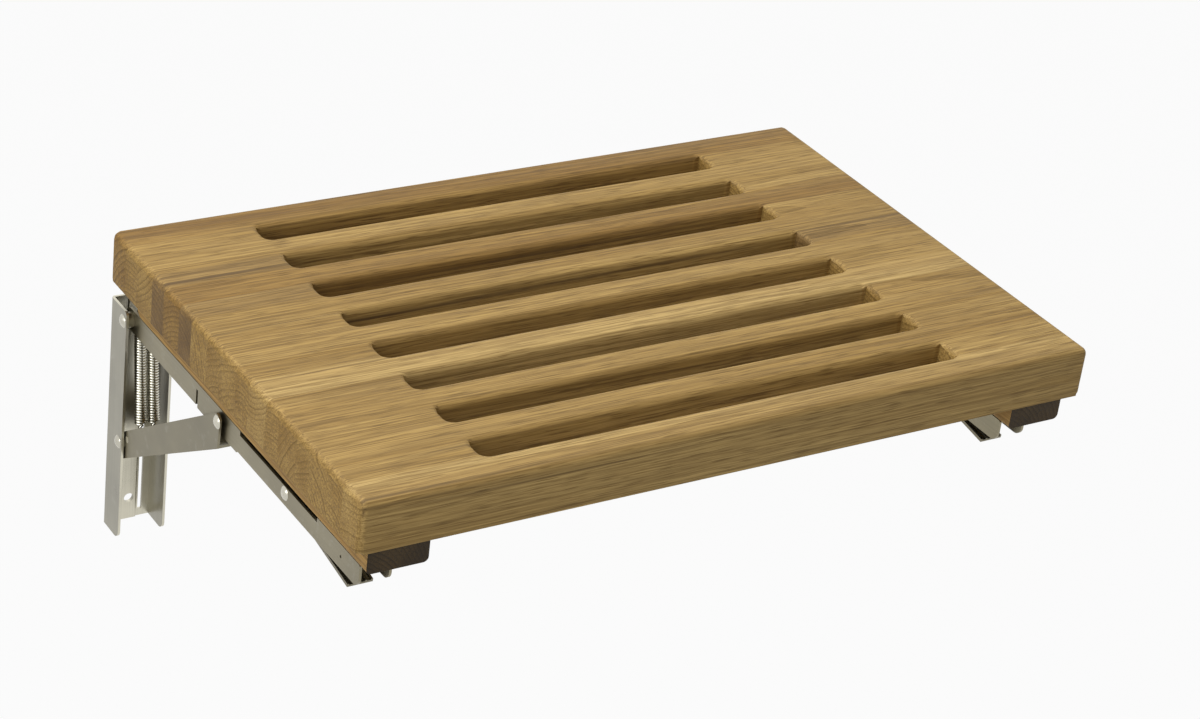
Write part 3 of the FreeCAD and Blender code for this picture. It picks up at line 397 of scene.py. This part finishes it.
slatLooks = {  # tone, seed, ring centre across and above the slat in mm, ring width in mm
    1: ("straw", 1.3, (-18.0, -64.0), 3.4),
    2: ("honey", 2.9, (30.0, -38.0), 2.9),
    3: ("honey", 4.1, (-44.0, -30.0), 3.1),
    4: ("straw", 5.7, (20.0, 58.0), 2.6),
    5: ("honey", 7.2, (-30.0, -52.0), 3.6),
    6: ("honey", 8.8, (46.0, -26.0), 3.0),
    7: ("amber", 9.4, (-22.0, -46.0), 2.7),
    8: ("honey", 11.6, (34.0, 44.0), 3.2),
    9: ("amber", 13.1, (-40.0, -40.0), 3.3),
}
blockLooks = {  # seed, and the first and last of the dark blocks, counted from the front
    "left": (21.0, 6, 7),
    "right": (47.0, 5, 5),
}
blockGrain = {
    "darkOnTop": 0.42,  # share of the dark tone that shows off the end grain; the end faces, the slot ends, take it all, partly as painted shade
    "toMiddle": 7.5 * mm,  # brings a block's count to its middle
    "aside": 0.05,  # width over which ring centres are drawn
    "below": (0.055, 0.012),  # furthest and nearest ring centre under the board
    "ringWidth": 2.8 * mm,
    "streaks": 0.8,
}


def teakBlocks(side):
    # One block lies in each gap, so its number comes from how far back it is
    seed, firstDark, lastDark = blockLooks[side]
    material, tree, shader, coords = startMaterial("teakBlocks" + side.capitalize())
    front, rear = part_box("slat_1"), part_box("slat_9")
    pitch = (rear[0].y - front[0].y) / 8
    split = tree.nodes.new("ShaderNodeSeparateXYZ")
    tree.links.new(coords.outputs["Object"], split.inputs[0])
    along = calc(tree, "DIVIDE", calc(tree, "SUBTRACT", split.outputs[1], front[0].y), pitch)
    number = calc(tree, "ADD", calc(tree, "FLOOR", calc(tree, "SUBTRACT", along, 0.05)), 1.0)
    isDark = calc(tree, "MULTIPLY", calc(tree, "GREATER_THAN", number, firstDark - 0.5),
                  calc(tree, "LESS_THAN", number, lastDark + 0.5))
    ends = endMask(tree, coords)
    # Dark blocks are darkest on their end faces, the slot ends: darker end grain and painted shade
    isDark = calc(tree, "MULTIPLY", isDark, spread(tree, ends, 0.0, 1.0, blockGrain["darkOnTop"], 1.0))
    ownSeed = calc(tree, "ADD", number, seed)
    chance = tree.nodes.new("ShaderNodeTexWhiteNoise")
    chance.noise_dimensions = "1D"
    feed(tree, ownSeed, chance.inputs["W"])
    drawn = tree.nodes.new("ShaderNodeSeparateColor")
    tree.links.new(chance.outputs["Color"], drawn.inputs[0])
    (pale, deep), (darkPale, darkDeep) = teak["tones"]["honey"], teak["tones"]["umber"]
    centre = tree.nodes.new("ShaderNodeCombineXYZ")
    middle = calc(tree, "MULTIPLY_ADD", number, pitch, front[0].y - blockGrain["toMiddle"])
    firstAside = calc(tree, "SUBTRACT", middle, blockGrain["aside"] / 2)
    feed(tree, calc(tree, "MULTIPLY_ADD", drawn.outputs[1], blockGrain["aside"], firstAside), centre.inputs[1])
    furthest, nearest = (front[0].z - drop for drop in blockGrain["below"])
    feed(tree, spread(tree, drawn.outputs[2], 0.0, 1.0, furthest, nearest), centre.inputs[2])
    placeGroup(tree, teakGroup, shader, {
        "Place": coords.outputs["Object"], "End": ends, "Seed": ownSeed,
        "Centre": centre.outputs[0], "Ring Width": blockGrain["ringWidth"], "Streaks": blockGrain["streaks"],
        "Pale": blendColour(tree, isDark, pale, darkPale), "Deep": blendColour(tree, isDark, deep, darkDeep)},
        teak["bumpDepth"], teak["bumpStrength"])
    shader.inputs["Specular IOR Level"].default_value = teak["gloss"]
    return material


def makeBoard():
    whole = routeBoard()
    low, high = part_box("slat_1")[0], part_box("slat_9")[1]
    middleX = (low.x + high.x) / 2
    across, along = Vector((0, 1, 0)), Vector((1, 0, 0))
    for number, (tone, seed, (aside, above), ringWidth) in slatLooks.items():
        near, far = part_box("slat_%d" % number)
        part = keepBetween(whole, "boardSlat%d" % number, across, near.y - board["hair"], far.y + board["hair"])
        middle = (near + far) / 2
        centre = (0.0, middle.y + aside * mm, middle.z + above * mm)
        material = teakStave("teakSlat%d" % number, tone, seed, centre, ringWidth * mm)
        finishStave(part, "slat_%d" % number, material)
    rows = {side: [] for side in sides}
    for number in range(1, 9):
        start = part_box("slat_%d" % number)[1].y + board["hair"]
        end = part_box("slat_%d" % (number + 1))[0].y - board["hair"]
        row = keepBetween(whole, "row", across, start, end)
        for side, limits in (("left", (low.x - 1, middleX)), ("right", (middleX, high.x + 1))):
            rows[side].append(keepBetween(row, "block", along, *limits))
        bpy.data.objects.remove(row, do_unlink=True)
    for side, blocks in rows.items():
        joined = joinPieces(blocks)
        joined.name = side + "Blocks"
        finishStave(joined, side + "_spacer_blocks", teakBlocks(side))
    bpy.data.objects.remove(whole, do_unlink=True)


makeBoard()
print("seat board routed and cut into staves")


# The cleats' grain runs front to back, so the pattern is turned a quarter round
cleatLook = {
    "seeds": {"left": 61.0, "right": 67.0},
    "across": -0.030, "above": -0.024, "ringWidth": 2.4 * mm, "streaks": 0.5,
    "pale": (0.500, 0.315, 0.105), "deep": (0.400, 0.238, 0.070),
}


def teakCleat(name, side):
    material, tree, shader, coords = startMaterial(name)
    turned = tree.nodes.new("ShaderNodeMapping")
    turned.inputs["Rotation"].default_value = (0.0, 0.0, math.pi / 2)
    tree.links.new(coords.outputs["Object"], turned.inputs["Vector"])
    split = tree.nodes.new("ShaderNodeSeparateXYZ")
    tree.links.new(coords.outputs["Normal"], split.inputs[0])
    end = spread(tree, calc(tree, "ABSOLUTE", split.outputs[1]), 0.55, 0.85)
    low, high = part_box(side + "_cleat")
    middle = (low + high) / 2
    # End faces take a very dark tone: darker end grain, and painted shadow of the board over the cleats' fronts
    darkPale, darkDeep = teak["tones"]["shadedEndGrain"]
    placeGroup(tree, teakGroup, shader, {
        "Place": turned.outputs[0], "End": end, "Seed": cleatLook["seeds"][side],
        "Centre": (0.0, middle.x + cleatLook["across"], middle.z + cleatLook["above"]),
        "Ring Width": cleatLook["ringWidth"], "Pale": blendColour(tree, end, cleatLook["pale"], darkPale),
        "Deep": blendColour(tree, end, cleatLook["deep"], darkDeep),
        "Streaks": cleatLook["streaks"]}, teak["bumpDepth"], teak["bumpStrength"])
    shader.inputs["Specular IOR Level"].default_value = teak["gloss"]
    return material


for side in sides:
    setMaterial(nodes[side + "_cleat"], teakCleat("teakCleat" + side.capitalize(), side))
print("cleats dressed")


# Steel pieces: base colour, roughness, and how the rolling lines are drawn out
steel = {
    "wall_rail": ((0.600, 0.570, 0.470), 0.22, (900.0, 900.0, 12.0), 71.0),
    # The arm, strut and lever colours are the steel darkened and browned: painted shade under the seat and a painted
    # reflection of the wood. The spacers and washers are darkened as painted shade of the gaps they sit in.
    "arm_channel": ((0.290, 0.258, 0.178), 0.28, (900.0, 12.0, 900.0), 73.0),
    "strut": ((0.262, 0.236, 0.168), 0.30, (900.0, 30.0, 45.0), 79.0),
    "release_lever": ((0.200, 0.180, 0.130), 0.28, (900.0, 12.0, 900.0), 83.0),
    "upper_pivot_pin": ((0.560, 0.535, 0.460), 0.14, (300.0, 300.0, 300.0), 89.0),
    "lower_pivot_rivets": ((0.560, 0.535, 0.460), 0.14, (300.0, 300.0, 300.0), 97.0),
    "pivot_spacers": ((0.300, 0.280, 0.220), 0.22, (40.0, 500.0, 500.0), 101.0),
    "strut_washers": ((0.300, 0.280, 0.220), 0.22, (40.0, 500.0, 500.0), 103.0),
    "strut_rivets": ((0.560, 0.535, 0.460), 0.14, (300.0, 300.0, 300.0), 107.0),
    "spring_anchor": ((0.500, 0.475, 0.400), 0.16, (300.0, 300.0, 300.0), 109.0),
    "lever_pin": ((0.560, 0.535, 0.460), 0.14, (300.0, 300.0, 300.0), 113.0),
    "arm_screws": ((0.420, 0.400, 0.340), 0.24, (500.0, 500.0, 60.0), 127.0),
    "cleat_screws": ((0.420, 0.400, 0.340), 0.24, (500.0, 500.0, 60.0), 131.0),
}
steelBump = {"depth": 0.03 * mm, "strength": 0.35}
paintedFlangeShade = {"wall_rail": 0.52, "arm_channel": 0.92, "strut": 0.88}  # painted shade: faces turned sideways, the flanges, are darkened against the web


def steelMaterial(name, base, dull, rolled, seed, flange=1.0):
    material, tree, shader, coords = startMaterial(name)
    split = tree.nodes.new("ShaderNodeSeparateXYZ")
    tree.links.new(coords.outputs["Normal"], split.inputs[0])
    sideways = spread(tree, calc(tree, "ABSOLUTE", split.outputs[0]), 0.2, 0.9)
    # Painted shade: faces turned to the sides take the base colour times the flange factor, darker than the web
    base = blendColour(tree, sideways, base, tuple(flange * part for part in base))
    placeGroup(tree, steelGroup, shader, {
        "Place": coords.outputs["Object"], "Rolled": rolled, "Seed": seed, "Base": base, "Dull": dull},
        steelBump["depth"], steelBump["strength"])
    shader.inputs["Metallic"].default_value = 1.0
    return material


def camelName(words):
    first, *rest = words.split("_")
    return first + "".join(word.capitalize() for word in rest)


for label, (base, dull, rolled, seed) in steel.items():
    finish = steelMaterial(camelName(label + "_steel"), base, dull, rolled, seed, paintedFlangeShade.get(label, 1.0))
    for side in sides:
        setMaterial(nodes["%s_%s" % (side, label)], finish)
print("brackets dressed")


# Arm screws: low heads with a cross recess, so that the springs pass them when the seat is folded
armScrews = {
    "head": 7.6 * mm,
    "shank": 4.0 * mm,
    "rise": 0.9 * mm,  # height of the head
    "crown": 0.4 * mm,  # rounding of the head
    "sheet": 72.5 * mm,  # underside of the arm's web
    "places": (-46.5, -106.5, -196.5, -266.5),  # front to back place of each screw, in mm
    "recess": (4.2 * mm, 0.9 * mm, 0.55 * mm),  # length, width and depth of the cross
    "smoothAngle": 32,
}


def makeScrew(x, y, tip):
    look = armScrews
    selectNone()
    bpy.ops.mesh.primitive_cylinder_add(vertices=32, radius=look["shank"] / 2, depth=tip - look["sheet"],
                                        location=(x, y, (tip + look["sheet"]) / 2))
    screw = bpy.context.object
    bpy.ops.object.transform_apply(location=True, rotation=True, scale=True)
    bpy.ops.object.mode_set(mode="EDIT")
    bpy.ops.mesh.select_mode(type="FACE")
    bpy.ops.mesh.select_all(action="DESELECT")
    form = bmesh.from_edit_mesh(screw.data)
    for face in form.faces:
        face.select_set(face.normal.z < -0.9)
    bmesh.update_edit_mesh(screw.data)
    wide = look["head"] / look["shank"]
    bpy.ops.mesh.extrude_region_move(TRANSFORM_OT_translate={"value": (0, 0, 0)})
    bpy.ops.transform.resize(value=(wide, wide, 1), center_override=(x, y, look["sheet"]))
    bpy.ops.mesh.extrude_region_move(TRANSFORM_OT_translate={"value": (0, 0, -look["rise"])})
    bpy.ops.object.mode_set(mode="OBJECT")
    bottom = look["sheet"] - look["rise"]
    bevelEdges(screw, lambda e: all(abs(v.co.z - bottom) < 0.001 * mm for v in e.verts), look["crown"])
    length, width, depth = look["recess"]
    for reachX, reachY in ((length, width), (width, length)):
        cutAway(screw, addBox("cutter", (x - reachX / 2, y - reachY / 2, bottom - mm),
                              (x + reachX / 2, y + reachY / 2, bottom + depth)))
    return screw


for side in sides:
    low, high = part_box(side + "_arm_screws")
    screws = joinPieces([makeScrew((low.x + high.x) / 2, y * mm, high.z) for y in armScrews["places"]])
    screws.name = side + "ArmScrews"
    bpy.ops.object.shade_smooth_by_angle(angle=math.radians(armScrews["smoothAngle"]))
    setMaterial(screws, bpy.data.materials["armScrewsSteel"])
    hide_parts(side + "_arm_screws")
    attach(screws, "seat")
print("arm screws set")


# Assist springs: a close coil with a hook at each end, wound along its own axis
springs = {
    "wire": 1.6 * mm,
    "coil": 7.3 * mm,  # outside diameter
    "sides": 10,
    "steps": 20,  # faces round one turn
    "neck": 6.4 * mm,  # straight end between the coil and a hook
    "hookInside": 3.35 * mm,  # hook's inner radius round its pin
    "footInside": 2.35 * mm,
    "hookTurn": math.radians(265),
    "hookSteps": 22,
    "bend": 1.1,  # radius of the neck's bend, in wire widths
    "bendSteps": 5,
    "pitch": 1.02,  # from turn to turn, in wire widths
    "weld": 0.01 * mm,
    "smoothAngle": 50,
    "base": (0.720, 0.700, 0.620),
    "dull": 0.12,
    "drawn": (500.0, 500.0, 500.0),
    "seed": 137.0,
}


def selectEndRing(piece, top):
    # The open ring of the wire at the upper or lower end of the coil
    bpy.ops.object.mode_set(mode="EDIT")
    bpy.ops.mesh.select_mode(type="VERT")
    bpy.ops.mesh.select_all(action="DESELECT")
    bpy.ops.mesh.select_non_manifold(extend=False, use_wire=False, use_multi_face=False,
                                     use_non_contiguous=False, use_verts=False)
    bpy.ops.object.mode_set(mode="OBJECT")
    middle = sum((v.co.z for v in piece.data.vertices), 0.0) / len(piece.data.vertices)
    for vertex in piece.data.vertices:
        if vertex.select and (vertex.co.z > middle) != top:
            vertex.select = False
    for edge in piece.data.edges:
        ends = [piece.data.vertices[i].select for i in edge.vertices]
        edge.select = all(ends) and edge.select
    bpy.ops.object.mode_set(mode="EDIT")


def drawHook(piece, top, inside, pinZ):
    # The last ring is drawn straight to the hook's level and then spun round the pin
    up = 1 if top else -1
    radius = inside + springs["wire"] / 2
    selectEndRing(piece, top)
    bpy.ops.object.mode_set(mode="OBJECT")
    ring = [v.co.copy() for v in piece.data.vertices if v.select]
    bpy.ops.object.mode_set(mode="EDIT")
    centre = sum(ring, Vector()) / len(ring)
    bend = springs["bend"] * springs["wire"]
    quarter = math.pi / 2
    bpy.ops.mesh.spin(steps=springs["bendSteps"], angle=-up * quarter,
                      center=centre + Vector((0, 0, up * bend)), axis=(0, 1, 0))
    start = Vector((-bend, centre.y, centre.z + up * bend))
    goal = Vector((0, -radius, pinZ))
    bpy.ops.mesh.extrude_region_move(TRANSFORM_OT_translate={"value": goal - start})
    bpy.ops.mesh.spin(steps=springs["hookSteps"], angle=-up * springs["hookTurn"], center=(0, 0, pinZ),
                      axis=(1, 0, 0))
    bpy.ops.mesh.edge_face_add()
    bpy.ops.object.mode_set(mode="OBJECT")


def windSpring(name, side, x):
    pin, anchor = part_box(side + "_upper_pivot_pin"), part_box(side + "_spring_anchor")
    head, foot = (pin[0] + pin[1]) / 2, (anchor[0] + anchor[1]) / 2
    head.x = foot.x = x
    course = foot - head
    coilRadius = (springs["coil"] - springs["wire"]) / 2
    lead = springs["neck"] + springs["hookInside"]
    tail = springs["neck"] + springs["footInside"]
    coilLength = course.length - lead - tail
    turns = int(coilLength / (springs["wire"] * springs["pitch"]))
    selectNone()
    bpy.ops.mesh.primitive_circle_add(vertices=springs["sides"], radius=springs["wire"] / 2, fill_type="NOTHING",
                                      location=(0, -coilRadius, -lead), rotation=(0, math.pi / 2, 0))
    piece = bpy.context.object
    piece.name = name
    bpy.ops.object.transform_apply(location=True, rotation=True, scale=True)
    winding = piece.modifiers.new("winding", "SCREW")
    winding.axis = "Z"
    winding.screw_offset = -coilLength / turns
    winding.iterations = turns
    winding.steps = winding.render_steps = springs["steps"]
    winding.use_merge_vertices = False
    applyModifiers(piece)
    drawHook(piece, True, springs["hookInside"], 0.0)
    drawHook(piece, False, springs["footInside"], -course.length)
    bpy.ops.object.mode_set(mode="EDIT")
    bpy.ops.mesh.select_all(action="SELECT")
    bpy.ops.mesh.remove_doubles(threshold=springs["weld"])
    bpy.ops.mesh.normals_make_consistent(inside=False)
    bpy.ops.object.mode_set(mode="OBJECT")
    bpy.ops.object.shade_smooth_by_angle(angle=math.radians(springs["smoothAngle"]))
    piece.rotation_euler = (-math.atan2(-course.y, -course.z), 0, 0)
    piece.location = head
    bpy.ops.object.transform_apply(location=True, rotation=True, scale=True)
    return piece


springFinish = steelMaterial("springWireSteel", springs["base"], springs["dull"], springs["drawn"], springs["seed"])
for side in sides:
    for tag in ("outer", "inner"):
        low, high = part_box("%s_spring_%s" % (side, tag))
        piece = windSpring("%sSpring%s" % (side, tag.capitalize()), side, (low.x + high.x) / 2)
        setMaterial(piece, springFinish)
        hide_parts("%s_spring_%s" % (side, tag))
        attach(piece, side + "_springs")
print("springs wound")


# Studio: pale floor far below, white surroundings and soft lamps
studio = {
    "floorDrop": -2.6,
    "floorSize": 80.0,
    "floorColour": (0.86, 0.86, 0.86, 1.0),
    "floorDull": 0.9,
    "floorGlow": 0.94,  # how white the floor looks straight on and in the steel
    "ambient": 0.365,
    "lamps": {  # place, aim, size and watts
        "topLamp": ((-0.5, 0.5, 2.2), (0.0, -0.15, 0.1), 1.8, 42.0),
        "leftLamp": ((-2.0, -0.6, 0.9), (0.0, -0.15, 0.05), 1.3, 20.0),
        "frontLamp": ((0.3, -2.4, 0.9), (0.0, -0.15, 0.05), 1.4, 1.2),
    },
}


def makeFloor():
    selectNone()
    bpy.ops.mesh.primitive_plane_add(size=studio["floorSize"], location=(0, 0, studio["floorDrop"]))
    floor = bpy.context.object
    floor.name = "floor"
    bpy.ops.object.transform_apply(location=True)
    material = bpy.data.materials.new("paleFloor")
    material.use_nodes = True
    tree = material.node_tree
    shader = tree.nodes["Principled BSDF"]
    shader.inputs["Base Color"].default_value = studio["floorColour"]
    shader.inputs["Roughness"].default_value = studio["floorDull"]
    rays = tree.nodes.new("ShaderNodeLightPath")
    glow = tree.nodes.new("ShaderNodeEmission")
    mixed = tree.nodes.new("ShaderNodeMixShader")
    seen = calc(tree, "MAXIMUM", rays.outputs["Is Camera Ray"], rays.outputs["Is Glossy Ray"])
    feed(tree, calc(tree, "MULTIPLY", seen, studio["floorGlow"]), mixed.inputs[0])
    tree.links.new(shader.outputs[0], mixed.inputs[1])
    tree.links.new(glow.outputs[0], mixed.inputs[2])
    tree.links.new(mixed.outputs[0], tree.nodes["Material Output"].inputs["Surface"])
    floor.data.materials.append(material)


def makeWorld():
    world = bpy.data.worlds.new("studio")
    bpy.context.scene.world = world
    world.use_nodes = True
    tree = world.node_tree
    background = tree.nodes["Background"]
    background.inputs["Color"].default_value = (1.0, 1.0, 1.0, 1.0)
    rays = tree.nodes.new("ShaderNodeLightPath")
    seen = calc(tree, "MAXIMUM", rays.outputs["Is Camera Ray"], rays.outputs["Is Glossy Ray"])
    seen = calc(tree, "MAXIMUM", seen, rays.outputs["Is Transmission Ray"])
    feed(tree, spread(tree, seen, 0.0, 1.0, studio["ambient"], 1.0), background.inputs["Strength"])


def makeLamps():
    for name, (place, aim, size, watts) in studio["lamps"].items():
        light = bpy.data.lights.new(name, "AREA")
        light.size = size
        light.energy = watts
        lamp = bpy.data.objects.new(name, light)
        bpy.context.collection.objects.link(lamp)
        lamp.location = place
        lamp.rotation_euler = (Vector(aim) - Vector(place)).to_track_quat("-Z", "Y").to_euler()


view = {
    "azimuth": -34.617, "elevation": 28.762, "roll": 7.262,
    "target": (-0.0319, -0.2220, 0.1170), "distance": 1.6224, "lens": 91.05, "sensor": 36.0, "far": 50.0,
}


def makeCamera():
    azimuth, elevation = math.radians(view["azimuth"]), math.radians(view["elevation"])
    back = Vector((math.sin(azimuth) * math.cos(elevation), -math.cos(azimuth) * math.cos(elevation),
                   math.sin(elevation)))
    data = bpy.data.cameras.new("camera")
    data.lens = view["lens"]
    data.sensor_width = view["sensor"]
    data.sensor_fit = "HORIZONTAL"
    data.clip_end = view["far"]
    camera = bpy.data.objects.new("camera", data)
    bpy.context.collection.objects.link(camera)
    turn = back.to_track_quat("Z", "Y").to_matrix()
    right, up = turn.col[0], turn.col[1]
    roll = math.radians(view["roll"])
    rolledRight = right * math.cos(roll) + up * math.sin(roll)
    rolledUp = up * math.cos(roll) - right * math.sin(roll)
    place = Vector(view["target"]) + back * view["distance"]
    camera.matrix_world = Matrix((*zip(rolledRight, rolledUp, back, place), (0.0, 0.0, 0.0, 1.0)))
    bpy.context.scene.camera = camera


makeFloor()
makeWorld()
makeLamps()
makeCamera()
bpy.context.scene.view_settings.view_transform = "Standard"
print("studio ready")
